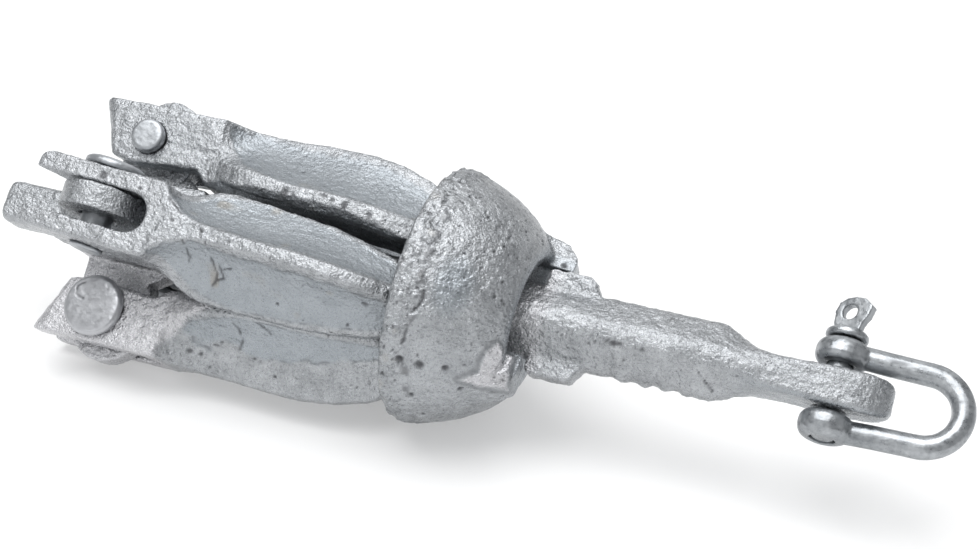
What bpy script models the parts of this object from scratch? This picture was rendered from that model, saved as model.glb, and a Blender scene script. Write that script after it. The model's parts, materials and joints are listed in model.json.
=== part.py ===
"""Folding four-fluke grapnel anchor: shank, flukes, rivets, locking collar and shackle.

Origin on the shank axis in the middle of the crown end face, +X along the shank to the
shackle, +Z up as the folded anchor lies with two flukes down and two up.
"""
import bmesh
import bpy
import math
from mathutils import Matrix, Vector

MM = 0.001
FIT = 0.3                      # gap left between pieces that touch
BORE_STEPS = 28                # sides of a round hole
THROUGH = 30.0                 # cutters reach this far past the middle

# stations along the shank
PIVOT_X = 52.0                 # fluke rivets
RIM_X = PIVOT_X + 112.0        # open end of the collar
PIN_X = PIVOT_X + 252.8        # shackle pin
PIN_DROP = 0.4
EYE_END_X = PIVOT_X + 272.0    # end of the shank eye

# crown
PIVOT_R = 31.8                 # rivet centre to shank axis
END_HALF = 7.9                 # square boss at the crown end
CORE_HALF = 13.0               # square body between the lugs
LUG_X = PIVOT_X + 1.5
LUG_R = (15.0, 17.3)           # half length and outward reach of a lug end
LUG_HALF = 4.4                 # half thickness of a lug
LUG_HOLE_R = 6.5
LUG_BORE_REACH = 12.0          # stays clear of the other lugs

# shank
SHAFT_R = 13.3
WING_R = 18.5
WING_HALF = 4.8
WING_X = (PIVOT_X + 152.0, PIVOT_X + 169.5)
TAB_HALF_T = 6.8
TAB_DROP = 0.5
TAB_HALF_W = 11.0
TAB_HOLE_R = 5.5
TAB_BORE_REACH = 20.0

# flukes
FORK_HALF = 13.5
SLOT_HALF = 7.0
CROTCH_X = 23.0                # end of the fork slot, from the rivet
FORK_HOLE_R = 5.9
SLACK_TURN = math.radians(-3.4)  # the front fluke leans sideways by its play
SLACK_SLIDE = 1.5              # and has slid along its rivet

# rivets
RIVET_R = 5.6
HEAD_R = 11.0
HEAD_T = 3.4
TAIL_R = 6.2
TAIL_T = 3.6
FLAT_TAIL_T = 1.3              # the front rivet is peened flatter

# collar
HUB_HOLE_R = 16.4
COLLAR_TILT = math.radians(3.06)  # the loose collar sags on the shank
COLLAR_MID = (RIM_X + 19.1, 0.6)
COLLAR_BACK = -18.0            # the bell's rim, from the point that the collar tilts about
SLOT_R = 20.4
SLOT_W_HALF = 5.6
EAR_X = (PIVOT_X + 158.0, PIVOT_X + 153.8)
EAR_R = 28.0
EAR_HALF = 5.6
EAR_TURN = math.radians(-20.0)
NOTCH_TURN = math.radians(16.0)
NOTCH_HALF = 7.0
NOTCH_R = 20.5

# shackle
WIRE_R = 4.0
JAW_HALF = 8.7
LOBE_R = 9.0
LOBE_T = 8.6
BOW_END_X = PIVOT_X + 298.0
BOW_PINCH = 0.7                # the legs close in towards the bend
PIN_R = 4.0
FLANGE_R = 7.2
FLANGE_T = 3.4
EYE_TURN = math.radians(-26.0)
EYE_HALF = 1.7                 # half thickness of the pin's eye plate
EYE_HOLE_R = 2.6
SHACKLE_TILT = math.radians(8.0)  # the pin lies over in its oversize eye


def clear_scene():
    for obj in list(bpy.data.objects):
        bpy.data.objects.remove(obj, do_unlink=True)


def make_material(name, colour, rough):
    mat = bpy.data.materials.new(name)
    mat.use_nodes = True
    shader = mat.node_tree.nodes["Principled BSDF"]
    shader.inputs["Base Color"].default_value = (*colour, 1.0)
    shader.inputs["Metallic"].default_value = 0.85
    shader.inputs["Roughness"].default_value = rough
    return mat


def make_object(name, bm, mat=None, smooth=35.0):
    bmesh.ops.remove_doubles(bm, verts=bm.verts, dist=0.00002)
    bmesh.ops.recalc_face_normals(bm, faces=bm.faces)
    mesh = bpy.data.meshes.new(name)
    bm.to_mesh(mesh)
    bm.free()
    obj = bpy.data.objects.new(name, mesh)
    bpy.context.scene.collection.objects.link(obj)
    if mat is not None:
        mesh.materials.append(mat)
    mesh.shade_smooth()
    mesh.set_sharp_from_angle(angle=math.radians(smooth))
    return obj


def loft(sections):
    """Close a tube of equal-length rings given in millimetres."""
    bm = bmesh.new()
    rings = []
    for ring in sections:
        rings.append([bm.verts.new(Vector(p) * MM) for p in ring])
    count = len(rings[0])
    for low, high in zip(rings, rings[1:]):
        for i in range(count):
            j = (i + 1) % count
            bm.faces.new((low[i], low[j], high[j], high[i]))
    bm.faces.new(list(reversed(rings[0])))
    bm.faces.new(rings[-1])
    return bm


def revolve(profile, steps, matrix=None):
    """Turn a closed (along, radius) outline about the local Z axis."""
    bm = bmesh.new()
    rings = []
    for along, radius in profile:
        if radius < 1e-6:
            rings.append([bm.verts.new((0.0, 0.0, along * MM))])
            continue
        ring = []
        for i in range(steps):
            a = 2.0 * math.pi * i / steps
            place = Vector((radius * math.cos(a), radius * math.sin(a), along))
            ring.append(bm.verts.new(place * MM))
        rings.append(ring)
    pairs = list(zip(rings, rings[1:]))
    if profile[0][1] > 1e-6:
        pairs.append((rings[-1], rings[0]))
    for low, high in pairs:
        for i in range(steps):
            j = (i + 1) % steps
            face = [low[i % len(low)], low[j % len(low)], high[j % len(high)], high[i % len(high)]]
            corners = list(dict.fromkeys(face))
            if len(corners) > 2:
                bm.faces.new(corners)
    if matrix is not None:
        bm.transform(matrix)
    return bm


def prism(outline, low, high, matrix=None):
    """Extrude an XY outline between two Z levels, all in millimetres."""
    bm = loft([[(x, y, low) for x, y in outline], [(x, y, high) for x, y in outline]])
    if matrix is not None:
        bm.transform(matrix)
    return bm


def bore(radius, reach):
    """Outline of a round cutter that runs through a piece both ways."""
    return [(-reach, 0.0), (-reach, radius), (reach, radius), (reach, 0.0)]


def arc(cx, cy, radius, start, end, steps):
    """Points of an arc, angles in degrees."""
    out = []
    for i in range(steps + 1):
        a = math.radians(start + (end - start) * i / steps)
        out.append((cx + radius * math.cos(a), cy + radius * math.sin(a)))
    return out


def combine(obj, cutters, operation):
    """Apply exact Booleans and drop the tool bodies."""
    for tool in cutters:
        mod = obj.modifiers.new("cut", "BOOLEAN")
        mod.operation = operation
        mod.solver = "EXACT"
        mod.object = tool
    graph = bpy.context.evaluated_depsgraph_get()
    mesh = bpy.data.meshes.new_from_object(obj.evaluated_get(graph))
    obj.modifiers.clear()
    old = obj.data
    obj.data = mesh
    bpy.data.meshes.remove(old)
    for tool in cutters:
        bpy.data.objects.remove(tool, do_unlink=True)


def finish(obj, name, smooth=35.0):
    """Merge stray points, triangulate and shade."""
    obj.name = name
    obj.data.name = name
    bm = bmesh.new()
    bm.from_mesh(obj.data)
    bmesh.ops.remove_doubles(bm, verts=bm.verts, dist=0.00003)
    bmesh.ops.dissolve_degenerate(bm, edges=bm.edges, dist=0.00002)
    bmesh.ops.triangulate(bm, faces=[f for f in bm.faces if len(f.verts) > 4])
    bm.to_mesh(obj.data)
    bm.free()
    obj.data.shade_smooth()
    obj.data.set_sharp_from_angle(angle=math.radians(smooth))


def blend(table, x):
    """Smooth interpolation in a short table of (position, value...) rows."""
    if x <= table[0][0]:
        return table[0][1:]
    for low, high in zip(table, table[1:]):
        if x <= high[0]:
            t = (x - low[0]) / (high[0] - low[0])
            t = t * t * (3.0 - 2.0 * t) * 0.5 + t * 0.5
            return tuple(a + (b - a) * t for a, b in zip(low[1:], high[1:]))
    return table[-1][1:]


# fluke shape by distance from its rivet: crest height, crest half width, flange half width,
# flange top, flange bottom (heights from the shank axis)
FLUKE_SHAPE = (
    (26.0, 44.3, 13.5, 13.5, 30.0, 23.3),
    (29.5, 44.5, 9.4, 14.4, 29.0, 22.8),
    (33.5, 44.4, 6.2, 16.4, 28.0, 22.3),
    (37.5, 44.3, 4.6, 18.3, 27.1, 21.8),
    (43.0, 44.3, 3.5, 19.5, 26.3, 21.1),
    (52.0, 44.5, 2.8, 19.5, 25.2, 20.3),
    (66.0, 45.2, 2.7, 18.9, 24.4, 19.5),
    (78.0, 45.2, 2.7, 18.6, 23.9, 19.2),
    (90.0, 43.7, 2.6, 16.9, 23.0, 18.2),
    (101.0, 40.6, 2.5, 14.4, 22.0, 16.8),
    (111.0, 35.4, 2.4, 11.6, 21.2, 16.0),
)
FLUKE_TIP = (121.5, 21.2, 2.2, 4.6, 20.0, 16.8)


def fluke_section(x_top, x_low, crest, crest_half, half, top, low):
    """One ring of the fluke, symmetric about its middle plane."""
    side = [(crest_half * 0.55, crest), (crest_half - 0.5, crest - 0.15), (crest_half, crest - 1.2)]
    for t in (0.2, 0.4, 0.6, 0.8):
        drop = crest - 1.2 + (top - crest + 1.2) * t
        bow = 0.5 * t + 0.5 * t ** 2.6
        side.append((crest_half + (half - crest_half) * bow, drop))
    side.append((half - 0.4, top))
    side.append((half, top - 0.8))
    side.append((half, low + 0.9))
    side.append((half - 0.9, low))
    ring = side + [(-y, z) for y, z in reversed(side)]
    out = []
    for y, z in ring:
        t = (z - low) / (crest - low)
        out.append((x_low + (x_top - x_low) * t, y, z - PIVOT_R))
    return out


def fluke_body():
    heel = (44.3, FORK_HALF, FORK_HALF, 30.0)
    rows = [
        fluke_section(-22.6, -14.4, 42.6, FORK_HALF - 4.2, FORK_HALF - 4.2, 30.4, 24.8),
        fluke_section(-22.0, -14.0, 43.7, FORK_HALF - 2.2, FORK_HALF - 2.2, 30.0, 23.8),
        fluke_section(-20.4, -13.0, 44.2, FORK_HALF - 0.7, FORK_HALF - 0.7, 30.0, 23.3),
        fluke_section(-18.4, -11.8, *heel, 23.0),
        fluke_section(-6.0, -4.0, *heel, 21.6),
        fluke_section(8.0, 8.0, *heel, 22.6),
        fluke_section(19.0, 19.0, *heel, 23.4),
    ]
    x = 26.0
    while x < 111.5:
        rows.append(fluke_section(x, x, *blend(FLUKE_SHAPE, x)))
        x += 2.9
    last = blend(FLUKE_SHAPE, 111.0)
    for t in (0.4, 0.75, 1.0):
        row = [a + (b - a) * t for a, b in zip(last, FLUKE_TIP[1:])]
        x = 111.0 + (FLUKE_TIP[0] - 111.0) * t
        rows.append(fluke_section(x - 1.2 * t, x, *row))
    return loft(rows)


def make_fluke(index, mat):
    body = make_object("fluke_body", fluke_body(), mat)
    outline = [(-40.0, SLOT_HALF), (-40.0, -SLOT_HALF)]
    outline += arc(CROTCH_X - SLOT_HALF, 0.0, SLOT_HALF, -90.0, 90.0, 14)
    slot = make_object("slot", prism(outline, -THROUGH, THROUGH), mat)
    turn = Matrix.Rotation(math.radians(-90.0), 4, "X")
    hole = make_object("hole", revolve(bore(FORK_HOLE_R, THROUGH), BORE_STEPS, turn), mat)
    combine(body, [slot, hole], "DIFFERENCE")
    finish(body, f"fluke_{index}", 40.0)
    return body


def make_rivet(index, mat, tail):
    out = FORK_HALF + FIT
    profile = [
        (-out - tail, 0.0),
        (-out - tail, TAIL_R - 1.2),
        (-out - tail + 0.4, TAIL_R - 0.3),
        (-out - tail + 1.1, TAIL_R),
        (-out, TAIL_R),
        (-out, RIVET_R),
        (out, RIVET_R),
        (out, HEAD_R - 0.6),
        (out + 0.8, HEAD_R),
        (out + HEAD_T - 1.2, HEAD_R - 0.1),
        (out + HEAD_T - 0.2, HEAD_R - 1.1),
        (out + HEAD_T, HEAD_R - 3.0),
        (out + HEAD_T, 0.0),
    ]
    turn = Matrix.Rotation(math.radians(-90.0), 4, "X")
    return make_object(f"rivet_{index}", revolve(profile, 32, turn), mat)


def square_radius(angle, half, corner):
    """Distance to a rounded square across the shank, in the direction of the angle."""
    c = abs(math.cos(angle))
    n = abs(math.sin(angle))
    big = max(c, n)
    small = min(c, n)
    flat = half / big
    if flat * small <= half - corner:
        return flat
    reach = (half - corner) * (c + n)
    return reach + math.sqrt(reach ** 2 - 2.0 * (half - corner) ** 2 + corner ** 2)


def shank_ring(x, square, diamond, mix, squash=1.0, drop=0.0, wide=1.0):
    """A ring between a rounded square and a rounded square stood on its corner."""
    out = []
    for quarter in range(4):
        for step in (0.0, 9.0, 18.0, 27.0, 34.0, 38.5, 42.0, 45.0, 48.0, 51.5, 56.0, 63.0, 72.0, 81.0):
            a = math.radians(90.0 * quarter + step)
            flat = square_radius(a, *square)
            point = square_radius(a + math.pi / 4.0, *diamond)
            r = flat + (point - flat) * mix
            out.append((x, r * math.cos(a) * wide, r * math.sin(a) * squash - drop))
    return out


def shank_body():
    # half side and corner radius of the squares that the shank passes through
    boss = (END_HALF, 3.4)
    core = (CORE_HALF, 1.6)
    stem = (10.6, 4.7)
    shaft = ((SHAFT_R + 3.0) / math.sqrt(2.0), 7.2)
    eye = (TAB_HALF_W, 3.4)
    # distance from the crown end, square shape, share of the pointed shape, height, drop, width
    rows = (
        (0.0, (END_HALF - 2.6, 2.4), 0.0, 1.0, 0.0, 1.0),
        (0.5, (END_HALF - 1.2, 3.0), 0.0, 1.0, 0.0, 1.0),
        (1.6, (END_HALF - 0.3, 3.4), 0.0, 1.0, 0.0, 1.0),
        (3.2, boss, 0.0, 1.0, 0.0, 1.0),
        (24.0, boss, 0.0, 1.0, 0.0, 1.0),
        (34.0, (CORE_HALF - 0.6, 2.2), 0.0, 1.0, 0.0, 1.0),
        (38.0, core, 0.0, 1.0, 0.0, 1.0),
        (PIVOT_X + 26.0, core, 0.0, 1.0, 0.0, 1.0),
        (PIVOT_X + 27.4, (CORE_HALF - 1.2, 2.4), 0.0, 1.0, 0.0, 1.0),
        (PIVOT_X + 32.0, stem, 0.0, 1.0, 0.0, 1.0),
        (PIVOT_X + 96.0, stem, 0.3, 1.0, 0.0, 1.0),
        (PIVOT_X + 135.0, shaft, 1.0, 0.99, 0.0, 0.99),
        (PIVOT_X + 180.0, shaft, 1.0, 1.0, 0.0, 1.0),
        (PIVOT_X + 211.0, shaft, 1.0, 1.0, 0.0, 1.0),
        (PIVOT_X + 214.5, shaft, 1.0, 0.985, 0.0, 1.0),
        (PIVOT_X + 218.0, shaft, 0.9, 0.90, 0.1, 1.0),
        (PIVOT_X + 222.0, shaft, 0.75, 0.76, 0.3, 1.0),
        (PIVOT_X + 227.0, (TAB_HALF_W + 0.8, 4.4), 0.35, 0.62, 0.5, 1.0),
        (PIVOT_X + 233.0, (TAB_HALF_W + 0.4, 3.8), 0.12, 0.56, 0.6, 1.0),
        (PIVOT_X + 241.0, (TAB_HALF_W + 0.1, 3.4), 0.0, 0.56, 0.5, 1.0),
        (PIVOT_X + 252.8, eye, 0.0, TAB_HALF_T / TAB_HALF_W, TAB_DROP, 1.0),
        (PIVOT_X + 260.0, eye, 0.0, TAB_HALF_T / TAB_HALF_W, TAB_DROP, 0.95),
        (PIVOT_X + 265.0, eye, 0.0, 0.61, TAB_DROP, 0.82),
        (PIVOT_X + 268.5, eye, 0.0, 0.57, TAB_DROP, 0.62),
        (PIVOT_X + 271.0, eye, 0.0, 0.49, TAB_DROP, 0.40),
        (EYE_END_X, eye, 0.0, 0.36, TAB_DROP, 0.22),
    )
    rings = []
    for x, square, mix, squash, drop, wide in rows:
        rings.append(shank_ring(x, square, shaft, mix, squash, drop, wide))
    return loft(rings)


def radial_matrix(quarter):
    """Turn an outline in (along, outward) to the given quarter round the shank."""
    upright = Matrix(((1, 0, 0, 0), (0, 0, -1, 0), (0, 1, 0, 0), (0, 0, 0, 1)))
    return Matrix.Rotation(math.radians(90.0 * quarter), 4, "X") @ upright


def make_shank(mat):
    body = make_object("shank_body", shank_body(), mat)
    lug = [(LUG_X - 14.6, 6.0), (LUG_X - 15.0, 12.0)]
    for along, outward in arc(0.0, 0.0, 1.0, 196.0, -46.0, 30):
        lug.append((LUG_X + along * LUG_R[0], PIVOT_R + outward * LUG_R[1]))
    lug += [(LUG_X + 14.4, 16.5), (PIVOT_X + 22.0, 12.4), (PIVOT_X + 22.0, 6.0)]
    wing = [
        (WING_X[0], 6.0),
        (WING_X[0], WING_R - 1.6),
        (WING_X[0] + 1.6, WING_R),
        (WING_X[1] - 2.8, WING_R),
        (WING_X[1] - 1.0, WING_R - 0.9),
        (WING_X[1], WING_R - 2.6),
        (WING_X[1] + 0.9, 14.2),
        (WING_X[1] + 2.4, 12.6),
        (WING_X[1] + 4.6, 11.4),
        (WING_X[1] + 4.6, 6.0),
    ]
    tools = []
    for quarter in range(4):
        place = radial_matrix(quarter)
        tools.append(make_object("lug", prism(lug, -LUG_HALF, LUG_HALF, place), mat))
        if quarter % 2 == 0:
            tools.append(make_object("wing", prism(wing, -WING_HALF, WING_HALF, place), mat))
    combine(body, tools, "UNION")
    cuts = []
    pivot = Matrix.Translation((PIVOT_X * MM, 0.0, PIVOT_R * MM))
    across = Matrix.Rotation(math.radians(90.0), 4, "X")
    for quarter in range(4):
        place = Matrix.Rotation(math.radians(90.0 * quarter), 4, "X") @ pivot @ across
        hole = revolve(bore(LUG_HOLE_R, LUG_BORE_REACH), BORE_STEPS, place)
        cuts.append(make_object("bore", hole, mat))
    eye = revolve(bore(TAB_HOLE_R, TAB_BORE_REACH), BORE_STEPS, Matrix.Translation((PIN_X * MM, 0.0, 0.0)))
    cuts.append(make_object("eye", eye, mat))
    combine(body, cuts, "DIFFERENCE")
    finish(body, "shank", 38.0)
    return body


def make_collar(mat):
    rim = COLLAR_BACK
    profile = [
        (rim - 0.7, 40.8),
        (rim - 0.9, 42.0),
        (rim - 0.5, 43.4),
        (rim + 0.6, 44.5),
        (rim + 2.6, 44.8),
        (rim + 5.0, 44.5),
        (rim + 8.0, 43.8),
        (rim + 12.0, 42.7),
        (rim + 16.0, 41.2),
        (rim + 20.0, 39.4),
        (rim + 24.0, 37.2),
        (rim + 28.0, 34.4),
        (rim + 31.5, 31.2),
        (rim + 34.5, 27.6),
        (rim + 36.3, 24.8),
        (rim + 36.8, 23.2),
        (rim + 36.3, 21.6),
        (rim + 34.8, 18.9),
        (rim + 33.8, 17.1),
        (rim + 33.0, HUB_HOLE_R),
        (rim + 26.2, HUB_HOLE_R),
        (rim + 25.2, 17.4),
        (rim + 24.8, 21.0),
        (rim + 23.6, 26.4),
        (rim + 21.0, 31.2),
        (rim + 17.0, 35.2),
        (rim + 12.0, 38.2),
        (rim + 7.0, 39.8),
        (rim + 2.0, 40.4),
    ]
    lay = Matrix.Rotation(math.radians(90.0), 4, "Y")
    body = make_object("collar_body", revolve(profile, 56, lay), mat)
    ears = []
    for quarter, reach in ((0, EAR_X[0]), (2, EAR_X[1])):
        end = reach - COLLAR_MID[0]
        ear = [(rim + 26.6, 15.6), (rim + 26.2, 21.0), (rim + 25.2, 27.0), (rim + 22.8, 32.2)]
        ear += [(rim + 20.5, 35.0), (rim + 21.5, 37.4), (rim + 23.6, 37.0)]
        ear += [(rim + 30.0, 33.2), (end - 5.0, EAR_R + 2.6), (end - 2.0, EAR_R)]
        ear += [(end - 0.5, EAR_R - 1.6), (end, EAR_R - 4.0), (end, 17.0), (end - 1.4, 15.6)]
        place = Matrix.Rotation(EAR_TURN, 4, "X") @ radial_matrix(quarter)
        ears.append(make_object("ear", prism(ear, -EAR_HALF, EAR_HALF, place), mat))
    combine(body, ears, "UNION")
    cuts = []
    ways = (
        (0.0, SLOT_W_HALF, SLOT_R),
        (math.radians(90.0) + NOTCH_TURN, NOTCH_HALF, NOTCH_R),
    )
    for turn, half, reach in ways:
        outline = [(-reach, -half), (reach, -half), (reach, half), (-reach, half)]
        place = Matrix.Rotation(turn, 4, "X") @ Matrix.Rotation(math.radians(90.0), 4, "Y")
        cuts.append(make_object("slot", prism(outline, rim + 20.0, rim + 62.0, place), mat))
    combine(body, cuts, "DIFFERENCE")
    finish(body, "locking_collar", 38.0)
    return body


def make_bow(mat):
    leg = JAW_HALF + WIRE_R + 0.3
    root_x = PIN_X + PIN_R + 2.4
    bend = leg - BOW_PINCH
    bend_x = BOW_END_X - WIRE_R - bend
    path = [(root_x, leg), ((PIN_X + bend_x) / 2.0, leg - BOW_PINCH * 0.5)]
    path += [(bend_x + px, pz) for px, pz in arc(0.0, 0.0, bend, 90.0, -90.0, 22)]
    path += [((PIN_X + bend_x) / 2.0, BOW_PINCH * 0.5 - leg), (root_x, -leg)]
    rings = []
    for i, (x, z) in enumerate(path):
        before = path[max(i - 1, 0)]
        after = path[min(i + 1, len(path) - 1)]
        along = Vector((after[0] - before[0], 0.0, after[1] - before[1])).normalized()
        side = Vector((0.0, 1.0, 0.0))
        out = along.cross(side)
        ring = []
        for k in range(16):
            a = 2.0 * math.pi * k / 16
            p = Vector((x, 0.0, z)) + (side * math.cos(a) + out * math.sin(a)) * WIRE_R
            ring.append(tuple(p - Vector((PIN_X, 0.0, 0.0))))
        rings.append(ring)
    body = make_object("bow_body", loft(rings), mat)
    lobes = []
    for sign in (1, -1):
        low = JAW_HALF
        high = JAW_HALF + LOBE_T
        profile = [(low, 0), (low, LOBE_R - 1.8), (low + 0.7, LOBE_R - 0.8), (low + 2.2, LOBE_R)]
        profile += [(high - 3.8, LOBE_R), (high - 2.2, LOBE_R - 0.5), (high - 0.9, LOBE_R - 1.6)]
        profile += [(high - 0.2, LOBE_R - 3.2), (high, LOBE_R - 4.4), (high, 0)]
        lobes.append(make_object("lobe", revolve([(sign * a, r) for a, r in profile], 32), mat))
    combine(body, lobes, "UNION")
    hole = PIN_R + FIT
    cutter = make_object("bore", revolve(bore(hole, THROUGH), BORE_STEPS), mat)
    combine(body, [cutter], "DIFFERENCE")
    finish(body, "shackle_bow", 40.0)
    return body


def make_pin(mat):
    top = JAW_HALF + LOBE_T + FIT
    end = -(JAW_HALF + LOBE_T) + 0.6
    profile = [
        (end, 0.0),
        (end, PIN_R - 0.7),
        (end + 0.7, PIN_R),
        (top, PIN_R),
        (top, FLANGE_R - 0.6),
        (top + 0.8, FLANGE_R),
        (top + FLANGE_T - 1.2, FLANGE_R - 0.1),
        (top + FLANGE_T - 0.2, FLANGE_R - 1.2),
        (top + FLANGE_T, FLANGE_R - 2.4),
        (top + FLANGE_T, 0.0),
    ]
    body = make_object("pin_body", revolve(profile, 28), mat)
    low = top + FLANGE_T - 1.0
    plate = [(-4.2, low), (-5.4, low + 3.2), (-5.7, low + 7.6), (-4.7, low + 10.5), (-2.4, low + 12.2)]
    plate += [(0.6, low + 12.9), (4.2, low + 12.4), (7.4, low + 9.8), (6.7, low + 6.6)]
    plate += [(4.8, low + 3.2), (4.2, low)]
    stand = Matrix.Rotation(EYE_TURN, 4, "Z") @ Matrix.Rotation(math.radians(90.0), 4, "X")
    eye = make_object("eye", prism(plate, -EYE_HALF, EYE_HALF, stand), mat)
    combine(body, [eye], "UNION")
    ring = arc(-0.4, low + 7.4, EYE_HOLE_R, 0.0, 345.0, 23)
    hole = make_object("hole", prism(ring, -5.0, 5.0, stand), mat)
    combine(body, [hole], "DIFFERENCE")
    finish(body, "shackle_pin", 40.0)
    return body


def main():
    clear_scene()
    casting = make_material("galvanised_casting", (0.56, 0.58, 0.60), 0.48)
    plated = make_material("galvanised_shackle", (0.60, 0.62, 0.64), 0.34)
    pin_mat = make_material("galvanised_pin", (0.58, 0.60, 0.61), 0.38)
    rivet_mat = make_material("galvanised_rivet", (0.60, 0.61, 0.63), 0.42)

    # quarter 0 points up and away (top fluke), quarter 1 up and forward (front fluke)
    lie = Matrix.Rotation(math.radians(-45.0), 4, "X")
    shank = make_shank(casting)
    shank.matrix_world = lie
    collar = make_collar(casting)
    middle = Matrix.Translation((COLLAR_MID[0] * MM, 0.0, COLLAR_MID[1] * MM))
    collar.matrix_world = lie @ middle @ Matrix.Rotation(COLLAR_TILT, 4, "Y")
    for index in range(4):
        quarter = Matrix.Rotation(math.radians(90.0 * index), 4, "X")
        slack = Matrix.Identity(4)
        tail = TAIL_T
        if index == 1:
            slide = Matrix.Translation((0.0, -SLACK_SLIDE * MM, 0.0))
            slack = slide @ Matrix.Rotation(SLACK_TURN, 4, "Z")
            tail = FLAT_TAIL_T
        place = lie @ quarter @ Matrix.Translation((PIVOT_X * MM, 0.0, PIVOT_R * MM)) @ slack
        make_fluke(index + 1, casting).matrix_world = place
        make_rivet(index + 1, rivet_mat, tail).matrix_world = place
    rock = Matrix.Translation((PIN_X * MM, 0.0, -PIN_DROP * MM)) @ Matrix.Rotation(-SHACKLE_TILT, 4, "X")
    make_bow(plated).matrix_world = lie @ rock
    make_pin(pin_mat).matrix_world = lie @ rock


main()
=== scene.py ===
"""Looks for the folding grapnel anchor: rough galvanised castings, camera, floor and light."""

import json
import math

import bmesh
import bpy
import numpy as np
from mathutils import Matrix, Vector

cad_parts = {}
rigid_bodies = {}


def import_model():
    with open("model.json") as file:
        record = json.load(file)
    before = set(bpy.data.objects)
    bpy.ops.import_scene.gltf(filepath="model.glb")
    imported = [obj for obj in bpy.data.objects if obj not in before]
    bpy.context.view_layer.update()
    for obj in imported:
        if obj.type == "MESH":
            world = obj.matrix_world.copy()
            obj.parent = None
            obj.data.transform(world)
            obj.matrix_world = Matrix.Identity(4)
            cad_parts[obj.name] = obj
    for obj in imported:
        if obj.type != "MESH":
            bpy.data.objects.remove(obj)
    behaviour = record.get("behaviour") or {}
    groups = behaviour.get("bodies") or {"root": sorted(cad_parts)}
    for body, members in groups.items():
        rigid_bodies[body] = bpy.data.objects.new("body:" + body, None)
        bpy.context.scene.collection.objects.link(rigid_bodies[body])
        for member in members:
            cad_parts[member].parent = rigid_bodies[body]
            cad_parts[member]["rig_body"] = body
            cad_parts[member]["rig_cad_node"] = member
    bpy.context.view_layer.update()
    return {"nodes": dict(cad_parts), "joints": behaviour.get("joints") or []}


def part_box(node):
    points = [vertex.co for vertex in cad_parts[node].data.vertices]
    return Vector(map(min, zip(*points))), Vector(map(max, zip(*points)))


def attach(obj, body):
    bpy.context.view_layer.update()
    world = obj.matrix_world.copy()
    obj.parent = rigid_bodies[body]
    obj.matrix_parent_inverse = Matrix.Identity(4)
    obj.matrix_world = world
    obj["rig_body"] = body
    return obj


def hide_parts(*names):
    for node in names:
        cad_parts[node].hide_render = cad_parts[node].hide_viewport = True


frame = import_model()

MM = 0.001
DIAGONAL = math.sqrt(0.5)
AXIS = np.array((1.0, 0.0, 0.0))
FAR = np.array((0.0, DIAGONAL, DIAGONAL))       # outward at the upper fluke
NEAR = np.array((0.0, -DIAGONAL, DIAGONAL))     # outward at the front fluke
OUTWARD = {"fluke_1": FAR, "fluke_2": NEAR, "fluke_3": -FAR, "fluke_4": -NEAR}
FLUKE_NUMBERS = (1, 2, 3, 4)
JOINTS = {joint["name"]: joint for joint in frame["joints"]}
SEED = 11

# the fine meshes: voxel size in millimetres, rounds of smoothing
MESH = {
    "fluke": (0.56, 4), "collar": (0.66, 4), "shank": (0.72, 3), "rivet": (0.45, 2),
    "shackle": (0.42, 3),
}
WELD_GAP = 0.00001      # metres, joins the CAD mesh's split corners

# places on the castings, in millimetres from the crown end or out from the shank's axis
PIVOT_R = 31.8          # the rivets
CREST_R = 44.0          # the flukes' crests
CREST_HALF = 2.9        # half width of the rough rib along a crest
FLANGE_R = 30.0         # the flukes' rough inner flange, where it starts
COLLAR_MID = (183.1, 0.6)
COLLAR_TILT = math.radians(3.06)
COLLAR_HALF = 18.0
WING_END = 226.0
SHAFT_END = 262.0

# relief, in millimetres
SKIN_EDGE = 1.4         # width of the change from rough to smooth skin
SINK = 0.15             # how far a casting's skin is drawn in, so that its lumps stay in the CAD box
COLLAR_SINK = 0.3
PIT_DEPTH = 0.45
MARK_DEPTH = 0.6
BAR_PITCH = 7.4         # spacing of the raised bars under the shank

# colours and shares of the zinc's layers
RAN_TINT = (0.82, 0.88, 0.92)
RAN_SHARE = 0.6
STAIN = (0.30, 0.26, 0.20)
STAIN_SHARE = 0.4
# painted light: a paler colour mixed in where the lamps leave a piece too dark
PAINTED_LIGHT_COLOUR = (0.60, 0.595, 0.615)
PAINTED_LIGHT_SHARE = 0.75
# dark colour for pits and cracks, also used as painted shade
GRIME_AND_SHADE = (0.055, 0.055, 0.06)

# camera, in metres and millimetres of lens
LENS = 66.26
CAMERA_PLACE = (0.34923, -0.48773, 0.33284)
CAMERA_RIGHT = (0.94024, 0.33860, 0.03615)
CAMERA_AHEAD = (-0.27007, 0.80617, -0.52644)

FLOOR_HALF = 4.0
FLOOR_GLOW = 0.32
WORLD_COLOUR = (0.97, 0.985, 1.0)
WORLD_STRENGTH = 0.48
# soft lights: name, place, aim, width and height in metres, watts
LIGHTS = (
    ("top_soft", (0.02, -0.12, 1.0), (0.12, -0.02, 0.0), (1.0, 1.1), 12.5),
    ("front_soft", (-0.2, -1.15, 0.42), (0.1, 0.0, 0.0), (1.2, 0.5), 2.2),
    ("back_soft", (0.0, 1.15, 0.75), (0.15, 0.0, 0.0), (1.8, 0.9), 3.8),
)

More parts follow.
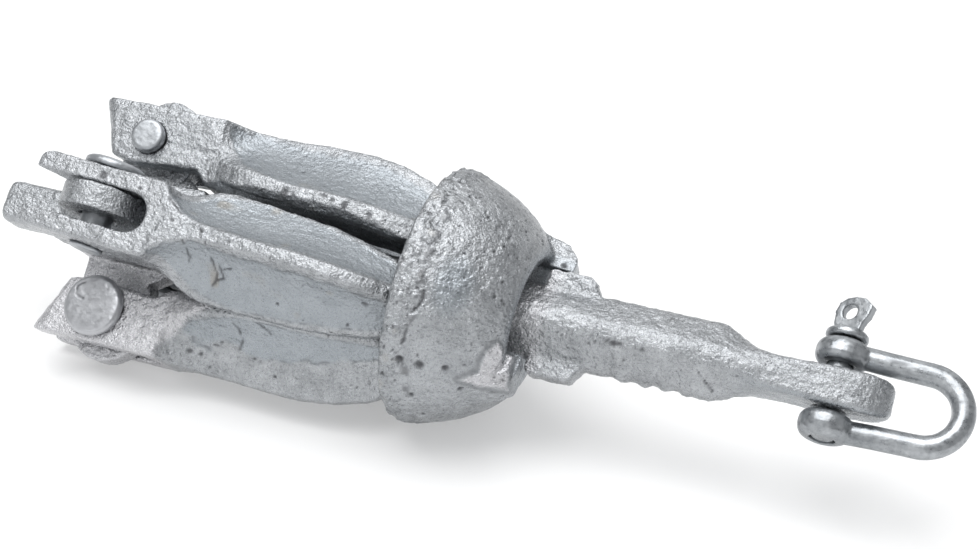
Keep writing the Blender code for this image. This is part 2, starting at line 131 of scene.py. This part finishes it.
# cracks: a line of places for at(), width
CRACKS = {
    "fluke_1": (
        (((76.0, 16.0, 30.0), (84.0, 15.5, 27.0)), 0.7),
    ),
    "fluke_2": (
        (((79.0, 40.0, 10.0), (81.0, 43.0, 5.5), (84.5, 44.0, 3.0), (88.0, 44.0, 1.0)), 0.9),
        (((91.0, 44.0, -7.5), (90.5, 38.0, -10.5), (91.5, 35.0, -12.5)), 0.7),
        (((99.0, 44.0, -7.0), (99.0, 38.0, -11.0), (101.0, 33.0, -14.0), (99.5, 29.0, -18.0)), 0.9),
        (((105.0, 38.0, -10.5), (102.0, 36.0, -12.5), (103.5, 32.0, -15.0), (100.5, 31.0, -16.0)), 0.8),
        (((104.0, 34.5, -13.0), (107.0, 35.5, -12.0)), 0.7),
        (((154.0, 32.0, -13.0), (155.5, 29.5, -15.0)), 0.9),
    ),
    "fluke_3": (
        (((103.0, 17.0, -24.5), (106.5, 15.0, -28.0), (107.5, 11.5, -31.5), (107.0, 8.5, -34.0)), 1.0),
        (((107.0, 8.5, -34.0), (102.0, 9.5, -34.0), (97.5, 9.0, -34.5)), 0.7),
        (((114.0, 17.5, -24.0), (116.0, 16.5, -26.0), (118.5, 15.0, -27.5)), 0.9),
        (((72.0, 17.0, -38.0), (79.0, 16.0, -36.0), (85.0, 15.5, -31.0)), 0.6),
    ),
    "rivet_3": (
        (((47.0, 17.1, -24.5), (44.8, 17.1, -26.5), (45.5, 17.1, -29.5), (48.0, 17.1, -30.5)), 0.8),
    ),
    "shank": (
        (((262.5, 9.6, -6.5), (264.0, 8.8, -8.2), (265.6, 6.8, -8.8), (267.5, 5.0, -10.7)), 0.75),
    ),
    "locking_collar": (
        (((175.2, 42.5, -6.0), (175.4, 41.8, -9.2), (173.4, 41.0, -13.5)), 0.8),
        (((172.6, 39.0, -18.0), (172.2, 37.8, -20.8), (171.2, 36.0, -23.5)), 0.9),
    ),
}
# the lower ear's front face: its outline along the shank and towards the upper fluke,
# a place for at() on its plane, and how the plane rises towards the front over both
EAR_FACE = (
    (188.8, -28.6), (194.3, -24.6), (196.3, -17.5), (198.6, -14.0), (203.4, -15.0), (203.4, -26.6),
    (195.0, -28.6),
)
EAR_PLACE = (189.0, 22.8, -28.4)
EAR_RISE = (-0.78, 0.66)
# a faint cast ring and a smooth patch on the collar
RING_PLACE = (192.4, 28.6, 21.4)
SMOOTH_PATCH = (184.0, 39.5, -2.0)
# share of painted light, a paler colour on pieces that the lamps leave too dark
PAINTED_LIGHT = {"fluke_3": 1.0, "fluke_2": 0.1, "rivet_3": 0.5}
# share of painted shade that darkens the smooth flanks, which catch too much light
PAINTED_FLANK_SHADE = {"fluke_1": 0.13, "fluke_2": 0.05}
# single pits: place for at(), radius
DIMPLES = {
    "fluke_1": (
        ((110.0, 19.2, 22.0), 1.6), ((113.0, 19.2, 21.6), 1.0), ((124.0, 18.8, 23.2), 1.7),
        ((127.5, 18.8, 22.6), 1.1), ((132.0, 18.5, 21.5), 1.5), ((141.0, 17.5, 21.0), 1.2),
    ),
    "fluke_2": (
        ((55.6, 44.3, 8.0), 2.0), ((82.0, 44.3, 5.0), 1.3), ((85.0, 44.3, -2.0), 1.0),
        ((96.0, 44.3, -3.5), 1.1), ((107.0, 44.4, -5.0), 1.3), ((116.0, 44.4, -6.0), 1.1),
    ),
    "fluke_3": (((88.6, 7.5, -38.1), 1.6), ((92.2, 6.3, -38.8), 1.3), ((140.0, 10.0, -33.0), 1.0)),
    "shank": (
        ((231.3, 12.5, -2.8), 1.2), ((233.4, 12.4, -3.5), 1.6), ((235.4, 12.2, -3.0), 1.1),
        ((243.0, 12.0, -4.0), 1.1), ((226.0, 13.0, -3.0), 1.3), ((254.0, 10.5, -7.0), 1.0),
    ),
    "locking_collar": (
        ((171.0, 32.5, -28.0), 1.8), ((177.5, 30.4, -28.0), 1.9), ((185.0, 27.0, -27.0), 1.8),
        ((174.0, 20.0, -37.0), 1.5), ((207.3, -2.2, 21.8), 1.6), ((189.0, 18.0, -31.0), 1.4),
        ((175.0, 33.0, 27.0), 1.6), ((181.0, 36.0, 19.0), 1.3), ((188.0, 33.0, 14.0), 1.4),
    ),
}


# ---------------------------------------------------------------- noise in numpy
def hashed(cells, seed):
    """Even random numbers from 0 to 1 for whole-number cells."""
    c = cells.astype(np.int64)
    h = c[..., 0] * 73856093 ^ c[..., 1] * 19349663 ^ c[..., 2] * 83492791 ^ (seed * 2654435761)
    h = (h ^ (h >> 13)) * 1274126177 & 0xFFFFFFFF
    h = (h ^ (h >> 16)) * 2246822519 & 0xFFFFFFFF
    return ((h ^ (h >> 15)) & 0xFFFFFF) / float(0xFFFFFF)


def smooth_noise(points, size, seed):
    """Value noise from -1 to 1 with features of the given size."""
    p = points / size + 0.37 * seed
    base = np.floor(p)
    t = p - base
    t = t * t * t * (t * (t * 6.0 - 15.0) + 10.0)
    total = np.zeros(len(p))
    for corner in range(8):
        step = np.array((corner & 1, corner >> 1 & 1, corner >> 2 & 1))
        weight = np.prod(np.where(step == 1, t, 1.0 - t), axis=1)
        total += weight * hashed(base + step, seed)
    return total * 2.0 - 1.0


def layered(points, size, seed, layers=3, gain=0.5):
    """Several sizes of noise added up."""
    total = np.zeros(len(points))
    turned = points
    turn = np.array(Matrix.Rotation(0.7, 3, Vector((1.0, 2.0, 0.5))))
    share = 1.0
    for i in range(layers):
        total += share * smooth_noise(turned, size, seed + 17 * i)
        turned = turned @ turn.T
        size *= 0.5
        share *= gain
    return total


def spots(points, cell, seed, chance, reach=(0.25, 0.6)):
    """Round spots scattered one to a cell: 1 at a spot's middle, 0 outside it."""
    p = points / cell
    base = np.floor(p)
    best = np.zeros(len(p))
    for dx in (-1, 0, 1):
        for dy in (-1, 0, 1):
            for dz in (-1, 0, 1):
                home = base + (dx, dy, dz)
                shown = hashed(home, seed) < chance
                middle = home + np.stack([hashed(home, seed + k) for k in (1, 2, 3)], 1)
                size = reach[0] + (reach[1] - reach[0]) * hashed(home, seed + 4) ** 2
                gap = np.linalg.norm(p - middle, axis=1) / size
                best = np.maximum(best, np.where(shown, 1.0 - gap, 0.0))
    return np.clip(best, 0.0, 1.0)


def ramp(value, low, high):
    """0 below low, 1 above high, smooth between."""
    t = np.clip((value - low) / (high - low), 0.0, 1.0)
    return t * t * (3.0 - 2.0 * t)


def fade(value, low, high):
    """1 below low, 0 above high, smooth between."""
    return 1.0 - ramp(value, low, high)


def between(value, rise, fall):
    """0 before the rise, 1 from its end to the start of the fall, 0 after the fall."""
    return ramp(value, *rise) * fade(value, *fall)


def most(*layers):
    """The largest of several layers at each point."""
    return np.maximum.reduce(layers)


def at(x, near, far):
    """A point from its place along the shank and towards the front and the upper fluke, in mm."""
    return AXIS * x + NEAR * near + FAR * far


def crack(points, path, width):
    """1 along a line of places given to at(), 0 beyond the width."""
    corners = [at(*place) for place in path]
    best = np.full(len(points), np.inf)
    for a, b in zip(corners[:-1], corners[1:]):
        share = np.clip((points - a) @ (b - a) / ((b - a) @ (b - a)), 0.0, 1.0)
        best = np.minimum(best, np.linalg.norm(points - a - np.outer(share, b - a), axis=1))
    return fade(best, 0.3 * width, width)


def dimple(points, place, radius):
    """1 at a place, 0 beyond the radius."""
    return fade(np.linalg.norm(points - at(*place), axis=1), 0.35 * radius, radius)


def within(flat, outline):
    """Distance inside a closed outline, negative outside it."""
    gap = np.full(len(flat), np.inf)
    odd = np.zeros(len(flat), bool)
    for a, b in zip(outline, outline[1:] + outline[:1]):
        a = np.array(a)
        b = np.array(b)
        share = np.clip((flat - a) @ (b - a) / ((b - a) @ (b - a)), 0.0, 1.0)
        gap = np.minimum(gap, np.linalg.norm(flat - a - np.outer(share, b - a), axis=1))
        crosses = (a[1] > flat[:, 1]) != (b[1] > flat[:, 1])
        rise = b[1] - a[1] if b[1] != a[1] else 1.0
        odd ^= crosses & (flat[:, 0] < a[0] + (flat[:, 1] - a[1]) * (b[0] - a[0]) / rise)
    return np.where(odd, gap, -gap)


def marks_on(points, node, seed):
    """Cracks and single deep pits that the casting shows at known places."""
    bent = points + 0.6 * np.stack([smooth_noise(points, 2.6, seed + k) for k in (1, 2, 3)], 1)
    best = np.zeros(len(points))
    for path, width in CRACKS.get(node, ()):
        best = np.maximum(best, crack(bent, path, 0.75 * width))
    for place, radius in DIMPLES.get(node, ()):
        best = np.maximum(best, dimple(bent, place, radius))
    return best


def rough_edge(points, seed):
    """Broken stretches along an edge."""
    return ramp(smooth_noise(points, 2.2, seed) + 0.5 * smooth_noise(points, 6.0, seed + 1), -0.3, 0.4)


# ---------------------------------------------------------------- meshes
def dense_copy(node, voxel, rounding):
    """A fine even mesh of a CAD node with its edges rounded."""
    obj = frame["nodes"][node].copy()
    obj.data = obj.data.copy()
    obj.parent = None
    obj.name = node + "_cast"
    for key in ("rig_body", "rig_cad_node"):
        if key in obj:
            del obj[key]
    bpy.context.scene.collection.objects.link(obj)
    bm = bmesh.new()
    bm.from_mesh(obj.data)
    bmesh.ops.remove_doubles(bm, verts=bm.verts, dist=WELD_GAP)
    bm.to_mesh(obj.data)
    bm.free()
    remesh = obj.modifiers.new("even", "REMESH")
    remesh.mode = "VOXEL"
    remesh.voxel_size = voxel * MM
    relax = obj.modifiers.new("round", "SMOOTH")
    relax.factor = 0.5
    relax.iterations = rounding
    graph = bpy.context.evaluated_depsgraph_get()
    mesh = bpy.data.meshes.new_from_object(obj.evaluated_get(graph))
    obj.modifiers.clear()
    old = obj.data
    obj.data = mesh
    mesh.name = obj.name
    bpy.data.meshes.remove(old)
    mesh.shade_smooth()
    return obj


def read_points(obj):
    """Places in millimetres and normals of a mesh's points."""
    count = len(obj.data.vertices)
    points = np.empty(count * 3, np.float32)
    normals = np.empty(count * 3, np.float32)
    obj.data.vertices.foreach_get("co", points)
    obj.data.vertices.foreach_get("normal", normals)
    return points.reshape(-1, 3).astype(float) / MM, normals.reshape(-1, 3).astype(float)


def write_points(obj, node, points):
    """Store the moved points, kept inside the CAD node's own box."""
    low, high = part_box(node)
    held = np.clip(points * MM, np.array(low), np.array(high))
    obj.data.vertices.foreach_set("co", held.astype(np.float32).ravel())
    obj.data.update()


def paint(obj, **layers):
    """Store shares from 0 to 1 that the materials read."""
    for name, values in layers.items():
        attribute = obj.data.attributes.new(name, "FLOAT", "POINT")
        attribute.data.foreach_set("value", np.clip(values, 0.0, 1.0).astype(np.float32))


def settle(obj, node, body, material):
    """Give a finished piece its material and its body, and hide the CAD node that it stands for."""
    obj.data.materials.clear()
    obj.data.materials.append(material)
    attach(obj, body)
    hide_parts(node)


# ---------------------------------------------------------------- materials
def zinc(name, dark, light, speck, patch, rough, bump, metal):
    """Galvanised zinc: speckled grey, darker in its pits, bluer and finer where it ran smooth; painted
    light and painted shade come in from the point shares.
    """
    mat = bpy.data.materials.new(name)
    mat.use_nodes = True
    tree = mat.node_tree
    nodes = tree.nodes
    links = tree.links
    shader = nodes["Principled BSDF"]
    shader.inputs["Metallic"].default_value = metal
    place = nodes.new("ShaderNodeTexCoord").outputs["Object"]

    def noise(scale, detail, roughness=0.6):
        node = nodes.new("ShaderNodeTexNoise")
        node.inputs["Scale"].default_value = scale
        node.inputs["Detail"].default_value = detail
        node.inputs["Roughness"].default_value = roughness
        links.new(place, node.inputs["Vector"])
        return node.outputs["Fac"]

    def spread(value, low, high, out_low, out_high):
        node = nodes.new("ShaderNodeMapRange")
        node.inputs["From Min"].default_value = low
        node.inputs["From Max"].default_value = high
        node.inputs["To Min"].default_value = out_low
        node.inputs["To Max"].default_value = out_high
        links.new(value, node.inputs["Value"])
        return node.outputs["Result"]

    def maths(kind, a, b):
        node = nodes.new("ShaderNodeMath")
        node.operation = kind
        for socket, value in zip(node.inputs, (a, b)):
            if isinstance(value, float):
                socket.default_value = value
            else:
                links.new(value, socket)
        return node.outputs["Value"]

    def blend(share, a, b):
        node = nodes.new("ShaderNodeMix")
        node.data_type = "RGBA"
        factor, first, second = (node.inputs[i] for i in (0, 6, 7))     # the colour sockets
        for socket, value in ((first, a), (second, b)):
            if isinstance(value, tuple):
                socket.default_value = (*value, 1.0)
            else:
                links.new(value, socket)
        links.new(share, factor)
        return node.outputs[2]

    def share(layer):
        node = nodes.new("ShaderNodeAttribute")
        node.attribute_name = layer
        return node.outputs["Fac"]

    def relief(distance, height, strength):
        node = nodes.new("ShaderNodeBump")
        node.inputs["Distance"].default_value = distance
        links.new(height, node.inputs["Height"])
        links.new(strength, node.inputs["Strength"])
        return node

    specks = noise(speck, 3.0, 0.7)
    patches = noise(patch, 4.0)
    mixed = maths("ADD", maths("MULTIPLY", specks, 0.5), maths("MULTIPLY", patches, 0.5))
    colour = blend(spread(mixed, 0.36, 0.64, 0.0, 1.0), dark, light)
    ran = tuple(0.5 * (d + l) * k for d, l, k in zip(dark, light, RAN_TINT))
    colour = blend(maths("MULTIPLY", share("ran"), RAN_SHARE), colour, ran)
    colour = blend(maths("MULTIPLY", share("stain"), STAIN_SHARE), colour, STAIN)
    # painted light: the paler colour lifts places that the lamps leave too dark
    colour = blend(maths("MULTIPLY", share("pale"), PAINTED_LIGHT_SHARE), colour, PAINTED_LIGHT_COLOUR)
    # dark colour for pits and cracks, and painted shade where shade falls
    colour = blend(share("grime"), colour, GRIME_AND_SHADE)
    links.new(colour, shader.inputs["Base Color"])
    shine = spread(specks, 0.35, 0.65, rough - 0.08, rough + 0.10)
    shine = maths("ADD", shine, maths("MULTIPLY", share("grime"), 0.3))
    links.new(shine, shader.inputs["Roughness"])
    depth = spread(share("ran"), 0.0, 1.0, bump, bump * 0.75)
    broad = relief(0.001, noise(speck * 0.45, 3.0), depth)
    fine = relief(0.0005, noise(speck * 1.3, 3.0), depth)
    links.new(broad.outputs["Normal"], fine.inputs["Normal"])
    links.new(fine.outputs["Normal"], shader.inputs["Normal"])
    return mat


# ---------------------------------------------------------------- castings
def fluke_places(node, points):
    """Along, sideways and outward distances of points, measured on a fluke."""
    hinge = JOINTS[node + "_hinge"]
    pivot = np.array(hinge["pos_m"]) / MM
    side = np.array(hinge["axis"], float)
    side /= np.linalg.norm(side)
    out = OUTWARD[node]
    along = np.cross(side, out)
    along *= math.copysign(1.0, along[0])
    away = points - pivot
    return away @ along, away @ side, away @ out + PIVOT_R


def fork_limit(index, points, out):
    """How far along a fluke its rough fork reaches; the limit curves back below the crest."""
    return 27.5 + 0.045 * (CREST_R - out) ** 2 + 1.2 * smooth_noise(points, 5.0, SEED + 60 + index)


def flange_limit(along):
    """Outward place where a fluke's rough flange begins."""
    return FLANGE_R - 6.0 * ramp(along, 26.0, 60.0) - 2.0 * ramp(along, 80.0, 110.0)


def crest_limit(index, points, along):
    """Half width of the rough rib along a fluke's crest; it widens into the fork."""
    crest = CREST_HALF + 8.0 * np.clip(1.0 - (along - 27.0) / 16.0, 0.0, 1.0) ** 2
    crest += 0.6 * smooth_noise(points, 3.0, SEED + 65 + index)
    if index == 3:
        crest += 5.0 + 1.5 * smooth_noise(points, 7.0, SEED + 68)
    return crest


def fluke_filling(index, points, along, side, out):
    """Metal added under a fluke, so that its heel closes up to its neighbours."""
    node = f"fluke_{index}"
    under = ramp(flange_limit(along) - 0.5 - out, 0.5, 4.5)
    heel = between(along, (20.0, 26.0), (95.0, 108.0))
    belly = under * heel * fade(np.abs(side), 12.0, 17.0) * (3.4 - 0.8 * ramp(along, 45.0, 60.0))
    if index == 1:
        belly *= 1.35 - 0.35 * ramp(along, 40.0, 50.0)
        near_edge = under * ramp(along, 22.0, 36.0) * ramp(side, 9.0, 15.0)
        belly = np.maximum(belly, 2.2 * near_edge)
    filling = np.outer(belly, -OUTWARD[node])
    if index == 4:
        filling += np.outer(1.6 * ramp(points @ FAR, 11.0, 15.0) * ramp(along, 55.0, 75.0), FAR)
    return filling


def make_fluke(index, material):
    node = f"fluke_{index}"
    obj = dense_copy(node, *MESH["fluke"])
    points, normals = read_points(obj)
    along, side, out = fluke_places(node, points)

    # the flanks between the crest rib and the flange ran smooth, everything else is rough
    fork_end = fork_limit(index, points, out)
    ran = ramp(along - fork_end, -0.4, 1.2)
    ran = ran * ramp(np.abs(side) - crest_limit(index, points, along), 0.0, SKIN_EDGE)
    ran = ran * ramp(out - flange_limit(along), 0.0, SKIN_EDGE)
    ran = np.maximum(ran, ramp(normals @ -OUTWARD[node], 0.5, 0.8) * 0.7)
    rough = 1.0 - ran

    lumps = layered(points, 2.4, SEED + index, 4, 0.62)
    swell = smooth_noise(points, 9.0, SEED + 5 + index)
    streaks = layered(points * (0.4, 1.0, 1.0), 2.0, SEED + 9 + index, 3, 0.6)
    pitted = rough * ramp(smooth_noise(points, 8.0, SEED + 31 + index), -0.2, 0.5)
    pit = np.maximum(spots(points, 2.4, SEED + 20 + index, 0.30, (0.16, 0.40)) * pitted,
                     spots(points, 4.0, SEED + 25 + index, 0.18, (0.10, 0.22)))
    wart = spots(points, 4.0, SEED + 40 + index, 0.26, (0.2, 0.45)) * rough
    marks = marks_on(points, node, SEED + 200 + index)
    # a ragged lip where the rough skin ends
    lip = between(ran, (0.05, 0.35), (0.35, 0.9)) * rough_edge(points, SEED + 3 + index)

    move = rough * (0.12 * lumps + 0.12) + ran * (0.06 * streaks - 0.12)
    move += 0.16 * swell + 0.18 * lip + 0.22 * ramp(wart, 0.0, 0.8)
    move -= PIT_DEPTH * ramp(pit, 0.0, 0.7) + 0.45 * marks
    moved = points + normals * (move - SINK)[:, None]
    write_points(obj, node, moved + fluke_filling(index, points, along, side, out))

    border = between(ran, (0.3, 0.6), (0.6, 0.95)) * rough_edge(points, SEED + 8 + index)
    # besides pits, lip and cracks: painted shade on the smooth flanks, from the flank share
    grime = most(0.75 * ramp(pit, 0.05, 0.5), 0.45 * border, 0.7 * marks, PAINTED_FLANK_SHADE.get(node, 0.0) * ran)
    stain = ran * ramp(smooth_noise(points, 6.0, SEED + 50 + index), 0.6, 0.95)
    # painted light on the fork, from the per-node share
    pale = PAINTED_LIGHT.get(node, 0.0) * fade(along, fork_end - 3.0, fork_end)
    paint(obj, ran=ran, grime=grime, stain=stain, pale=pale)
    settle(obj, node, node, material)


def ear_front(points, normals):
    """Distance inside the lower ear's outline, and a share for the skin that faces the front."""
    flat = np.stack([points @ AXIS, points @ FAR], 1)
    flat = flat + 0.5 * smooth_noise(points, 2.5, SEED + 12)[:, None]
    front = ramp(points @ NEAR, 6.0, 8.0) * ramp(normals @ NEAR, 0.0, 0.3)
    return within(flat, EAR_FACE), front


def ear_filling(points, ear, front):
    """Metal that fills the bell out to the flat plane of the ear's front face."""
    x, near, far = EAR_PLACE
    plane = near + EAR_RISE[0] * (points @ AXIS - x) + EAR_RISE[1] * (points @ FAR - far)
    return np.outer(np.clip(plane - points @ NEAR, 0.9, 3.4) * front * ramp(ear, 0.0, 1.0), NEAR)


def make_collar(material):
    node = "locking_collar"
    obj = dense_copy(node, *MESH["collar"])
    points, normals = read_points(obj)

    # places on the bell: station runs from its rim to its hub, radius from its own tilted axis
    tip = AXIS * math.cos(COLLAR_TILT) - FAR * math.sin(COLLAR_TILT)
    away = points - (AXIS * COLLAR_MID[0] + FAR * COLLAR_MID[1])
    station = away @ tip + COLLAR_HALF
    radial = away - np.outer(away @ tip, tip)
    radius = np.linalg.norm(radial, axis=1)
    facing = (normals * radial).sum(1) / np.maximum(radius, 1.0) + 0.9 * (normals @ tip)
    outer = ramp(facing, 0.0, 0.4)
    rim = fade(station, 5.0, 13.0)
    hub = ramp(station, 30.5, 34.0) * fade(radius, 24.0, 27.0)
    high = ramp(normals[:, 2], -0.1, 0.7)

    lumps = layered(points, 2.3, SEED + 2, 4, 0.62)
    heavy = layered(points, 5.0, SEED + 6, 3, 0.62)
    flakes = rim * outer * ramp(heavy + 0.6 * lumps, 0.05, 0.45)
    crowd = ramp(smooth_noise(points, 8.0, SEED + 14) + 1.3 * high + 0.8 * rim - 0.6, -0.2, 0.6)
    pit = most(spots(points, 1.9, SEED + 60, 0.75, (0.18, 0.46)) * crowd,
               spots(points, 4.2, SEED + 66, 0.3, (0.10, 0.24)),
               spots(points, 8.0, SEED + 70, 0.2, (0.12, 0.24))) * outer * (1.0 - hub)
    marks = marks_on(points, node, SEED + 210)
    ring = between(np.linalg.norm(points - at(*RING_PLACE), axis=1), (1.6, 2.6), (2.9, 3.8))
    ear, front = ear_front(points, normals)

    move = 0.11 * lumps + 0.15 * heavy + 0.36 * flakes + 0.14 * rim * outer * lumps
    move = move * (1.0 - 0.6 * hub) - 0.5 * ramp(pit, 0.0, 0.7) - MARK_DEPTH * marks - 0.22 * ring
    moved = points + normals * (move - COLLAR_SINK)[:, None]
    write_points(obj, node, moved + ear_filling(points, ear, front))

    torn = between(flakes, (0.05, 0.4), (0.4, 0.9))
    foot = front * between(ear, (-1.6, -0.4), (-0.3, 0.3))
    # besides pits, torn flakes, cracks and the ring: painted shade on the bell's inward faces and along
    # the foot of the ear's front face
    grime = most(0.8 * ramp(pit, 0.05, 0.5), 0.5 * torn, 0.08 * (1.0 - outer), 0.8 * marks,
                 0.2 * ring, 0.35 * foot)
    stain = 0.4 * rim * ramp(heavy, 0.6, 1.0)
    patch = np.linalg.norm((points - at(*SMOOTH_PATCH)) * (1.0, 0.6, 0.6), axis=1)
    ran = most(0.6 * hub, 0.15 * (1.0 - high), 0.9 * fade(patch, 3.0, 8.5))
    # painted light on the lower ear's front face
    paint(obj, ran=ran, grime=grime, stain=stain, pale=front * ramp(ear, 0.0, 0.8))
    settle(obj, node, "collar", material)


def make_shank(material):
    node = "shank"
    obj = dense_copy(node, *MESH["shank"])
    points, normals = read_points(obj)
    x = points[:, 0]
    far = points @ FAR
    up = normals @ FAR
    top = ramp(normals[:, 2], 0.0, 0.6)
    narrows = (SHAFT_END + 6.0, SHAFT_END + 22.0)
    shaft = between(x, (WING_END - 30.0, WING_END - 20.0), narrows)
    tab = ramp(x, *narrows)

    lumps = layered(points, 2.6, SEED + 80, 4, 0.62)
    dents = layered(points * (0.8, 1.0, 1.0), 2.0, SEED + 84, 3, 0.6)
    crowd = ramp(smooth_noise(points, 9.0, SEED + 87) + 0.5 - 1.2 * top, -0.1, 0.7) * ramp(x, 206.0, 214.0)
    pit = spots(points, 2.2, SEED + 90, 0.5, (0.16, 0.42)) * crowd * (1.0 - 0.6 * tab)
    marks = marks_on(points, node, SEED + 220)
    # raised bars cast along the underside, kept plain
    below = ramp(-up, 0.35, 0.8) * ramp(-far, 5.0, 9.0) * between(x, (228.0, 232.0), (258.5, 261.5))
    wave = x + 1.6 * smooth_noise(points, 12.0, SEED + 98)
    bars = below * (0.45 * np.cos((wave - 229.5) * 2.0 * math.pi / BAR_PITCH) - 0.3)

    move = (0.11 + 0.04 * shaft) * lumps + 0.20 * shaft * dents + bars
    move -= PIT_DEPTH * ramp(pit, 0.0, 0.7) + MARK_DEPTH * marks
    move += 0.12 * fade(x, 70.0, 80.0) * smooth_noise(points, 6.0, SEED + 95)
    # a low swelling between the upper lugs, under the heel of fluke_1
    swelling = ramp(up, 0.3, 0.8) * between(x, (60.0, 64.0), (90.0, 97.0))
    swelling *= fade(np.abs(points @ NEAR), 11.0, 15.0) * fade(far, 19.5, 22.0)
    moved = points + normals * (move - SINK)[:, None] + np.outer(4.6 * swelling, FAR)
    write_points(obj, node, moved)

    # painted shade on the shank where it runs inside the folded flukes and the bell
    inside = between(x, (95.0, 105.0), (172.0, 184.0))
    grime = most(0.75 * ramp(pit, 0.05, 0.5), 0.25 * inside, 0.8 * marks)
    # painted light: paler colour on the crown's underside and on the shank next to the hub, where the
    # lamps leave it too dark
    pale = np.maximum(0.8 * fade(x, 72.0, 80.0) * ramp(-far, 8.0, 12.0),
                      0.7 * between(x, (184.0, 190.0), (205.0, 212.0)))
    paint(obj, ran=0.5 * tab * (1.0 - top), grime=grime, pale=pale)
    settle(obj, node, "shank", material)


def make_rivet(index, material):
    node = f"rivet_{index}"
    obj = dense_copy(node, *MESH["rivet"])
    points, normals = read_points(obj)
    swell = smooth_noise(points, 5.0, SEED + 100 + index)
    lumps = layered(points, 1.8, SEED + 110 + index, 3)
    pit = spots(points, 3.6, SEED + 120 + index, 0.08, (0.12, 0.28))
    marks = marks_on(points, node, SEED + 230)
    move = 0.07 * swell + 0.05 * lumps - 0.25 * ramp(pit, 0.0, 0.7) - 0.3 * marks
    write_points(obj, node, points + normals * (move - 0.05)[:, None])
    even = np.ones(len(points))
    grime = most(0.6 * ramp(pit, 0.1, 0.6), 0.6 * marks)
    # painted light on the rivet, from the per-node share
    paint(obj, ran=0.4 * even, grime=grime, pale=PAINTED_LIGHT.get(node, 0.0) * even)
    settle(obj, node, f"fluke_{index}", material)


def make_shackle(node, material):
    obj = dense_copy(node, *MESH["shackle"])
    points, normals = read_points(obj)
    swell = smooth_noise(points, 6.0, SEED + 130)
    lumps = layered(points, 1.6, SEED + 134, 2)
    move = 0.05 * swell + 0.02 * lumps - 0.04
    write_points(obj, node, points + normals * move[:, None])
    grime = 0.5 * ramp(layered(points * (0.3, 1.0, 1.0), 2.4, SEED + 137, 2), 0.55, 1.1)
    paint(obj, ran=0.3 * np.ones(len(points)), grime=grime)
    settle(obj, node, node, material)


# ---------------------------------------------------------------- camera, floor, light
def place_in_scene(name, data):
    obj = bpy.data.objects.new(name, data)
    bpy.context.scene.collection.objects.link(obj)
    return obj


def make_camera():
    data = bpy.data.cameras.new("camera")
    data.sensor_width = 36.0
    data.lens = LENS
    data.clip_start = 0.01
    data.clip_end = 20.0
    cam = place_in_scene("camera", data)
    right = Vector(CAMERA_RIGHT).normalized()
    ahead = Vector(CAMERA_AHEAD).normalized()
    up = right.cross(ahead).normalized()
    turn = Matrix((right, up, -ahead)).transposed()
    cam.matrix_world = Matrix.Translation(CAMERA_PLACE) @ turn.to_4x4()
    bpy.context.scene.camera = cam


def lowest(*nodes):
    """The lowest corner of some CAD nodes, taken to the middle plane."""
    corners = (v.co for node in nodes for v in frame["nodes"][node].data.vertices)
    place = min(corners, key=lambda p: p.z)
    return Vector((place.x, 0.0, place.z))


def make_floor():
    """The anchor rests on the collar's rim and on the fork corners, so the floor tilts to both."""
    rim_rest = lowest("locking_collar")
    fork_rest = lowest("fluke_3", "fluke_4", "rivet_3", "rivet_4")
    slope = (rim_rest.z - fork_rest.z) / (rim_rest.x - fork_rest.x)
    bm = bmesh.new()
    bmesh.ops.create_grid(bm, x_segments=2, y_segments=2, size=FLOOR_HALF)
    mesh = bpy.data.meshes.new("floor")
    bm.to_mesh(mesh)
    bm.free()
    floor = place_in_scene("floor", mesh)
    floor.matrix_world = Matrix.Translation(rim_rest) @ Matrix.Rotation(-math.atan(slope), 4, "Y")
    mat = bpy.data.materials.new("floor_white")
    mat.use_nodes = True
    shader = mat.node_tree.nodes["Principled BSDF"]
    shader.inputs["Base Color"].default_value = (0.66, 0.66, 0.66, 1.0)
    shader.inputs["Roughness"].default_value = 1.0
    shader.inputs["Specular IOR Level"].default_value = 0.0
    shader.inputs["Emission Color"].default_value = (1.0, 1.0, 1.0, 1.0)
    shader.inputs["Emission Strength"].default_value = FLOOR_GLOW
    mesh.materials.append(mat)


def area_light(name, place, aim, size, power):
    data = bpy.data.lights.new(name, "AREA")
    data.shape = "RECTANGLE"
    data.size, data.size_y = size
    data.energy = power
    obj = place_in_scene(name, data)
    turn = (Vector(aim) - Vector(place)).normalized().to_track_quat("-Z", "Y").to_matrix()
    obj.matrix_world = Matrix.Translation(place) @ turn.to_4x4()


def make_lights():
    world = bpy.data.worlds.new("studio")
    world.use_nodes = True
    back = world.node_tree.nodes["Background"]
    back.inputs["Color"].default_value = (*WORLD_COLOUR, 1.0)
    back.inputs["Strength"].default_value = WORLD_STRENGTH
    bpy.context.scene.world = world
    for light in LIGHTS:
        area_light(*light)


make_camera()
make_floor()
make_lights()
bpy.context.scene.view_settings.view_transform = "Standard"

casting = zinc("zinc_casting", dark=(0.28, 0.291, 0.304), light=(0.46, 0.474, 0.492),
               speck=900.0, patch=140.0, rough=0.27, bump=0.9, metal=0.92)
for number in FLUKE_NUMBERS:
    make_fluke(number, casting)
make_collar(casting)
make_shank(casting)
rivets = zinc("zinc_rivet", dark=(0.31, 0.32, 0.334), light=(0.45, 0.46, 0.475),
              speck=500.0, patch=160.0, rough=0.36, bump=0.16, metal=0.8)
for number in FLUKE_NUMBERS:
    make_rivet(number, rivets)
plated = zinc("zinc_shackle", dark=(0.20, 0.209, 0.22), light=(0.48, 0.494, 0.508),
              speck=420.0, patch=110.0, rough=0.33, bump=0.18, metal=0.92)
for name in ("shackle_bow", "shackle_pin"):
    make_shackle(name, plated)
